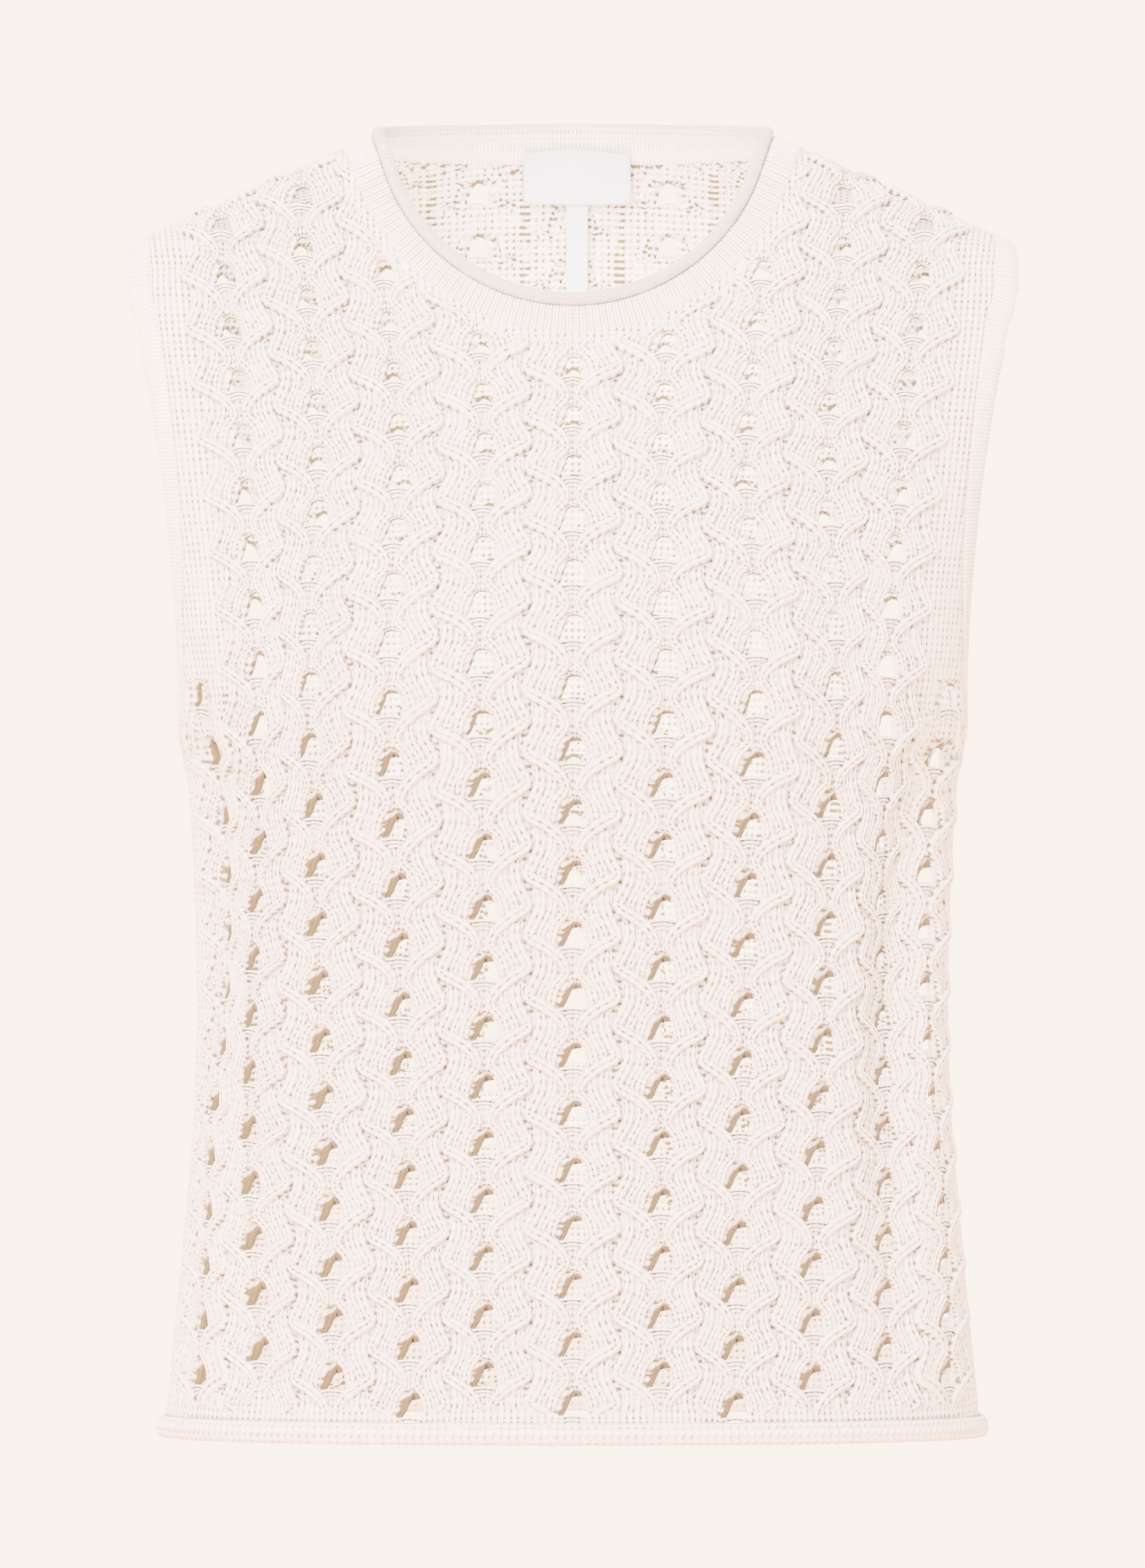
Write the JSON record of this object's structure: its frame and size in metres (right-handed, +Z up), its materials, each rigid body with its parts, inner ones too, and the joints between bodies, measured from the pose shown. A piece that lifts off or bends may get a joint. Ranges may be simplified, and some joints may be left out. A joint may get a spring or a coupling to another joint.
{
  "type": "sleeveless knitted sweater vest",
  "caption": "Sleeveless crew-neck sweater vest in an openwork cable knit, filled out as worn but empty, with ribbed neck and armholes and a rolled hem.",
  "frame": {"origin": "midway between the shoulders, at the height of the middle of the shoulder slopes, where a wearer holds the garment up", "axes": "+X to the wearer's left, -Y to the front, +Z up"},
  "size_m": [0.3898, 0.2275, 0.5822],
  "materials": {
    "knit": "soft matt ivory cotton and wool knit with openwork cables",
    "band_knit": "fine ribbed ivory knit of the same yarn",
    "label_weave": "smooth white damask weave, bare",
    "ribbon_weave": "white satin ribbon, bare"
  },
  "bodies": {
    "root": {"front": "knit", "back": "knit", "neckband": "band_knit", "armband_left": "band_knit", "armband_right": "band_knit", "hem_roll": "band_knit", "neck_label": "label_weave", "care_ribbon": "ribbon_weave"}
  },
  "joints": []
}
